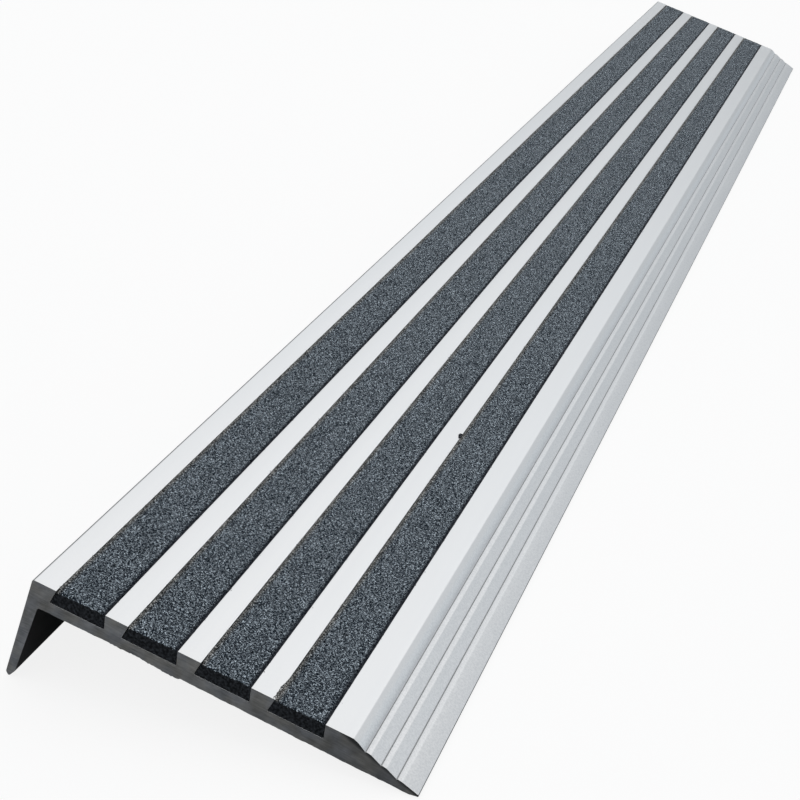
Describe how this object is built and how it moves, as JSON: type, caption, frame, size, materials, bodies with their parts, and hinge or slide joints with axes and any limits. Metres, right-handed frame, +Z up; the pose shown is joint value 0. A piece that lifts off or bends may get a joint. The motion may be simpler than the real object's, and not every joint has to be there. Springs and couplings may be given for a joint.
{
  "type": "stair nosing",
  "caption": "Extruded aluminium stair nosing with a stepped ramp to the tread, a tapered leg over the riser and black abrasive strips bonded into dovetail slots.",
  "frame": {"origin": "bottom centre of the bounding box, as the nosing lies on a level floor on its leg tip and back edge", "axes": "+Y along the length, +X from the nose towards the back edge, +Z up"},
  "size_m": [0.0816, 0.69, 0.0218],
  "materials": {
    "satin_aluminium": "satin mill or anodised finish, sawn ends",
    "abrasive_grit": "black silicon carbide grains in dark resin, rough"
  },
  "bodies": {
    "root": {"nosing_profile": "satin_aluminium", "abrasive_strip_1": "abrasive_grit", "abrasive_strip_2": "abrasive_grit", "abrasive_strip_3": "abrasive_grit", "abrasive_strip_4": "abrasive_grit"}
  },
  "joints": []
}
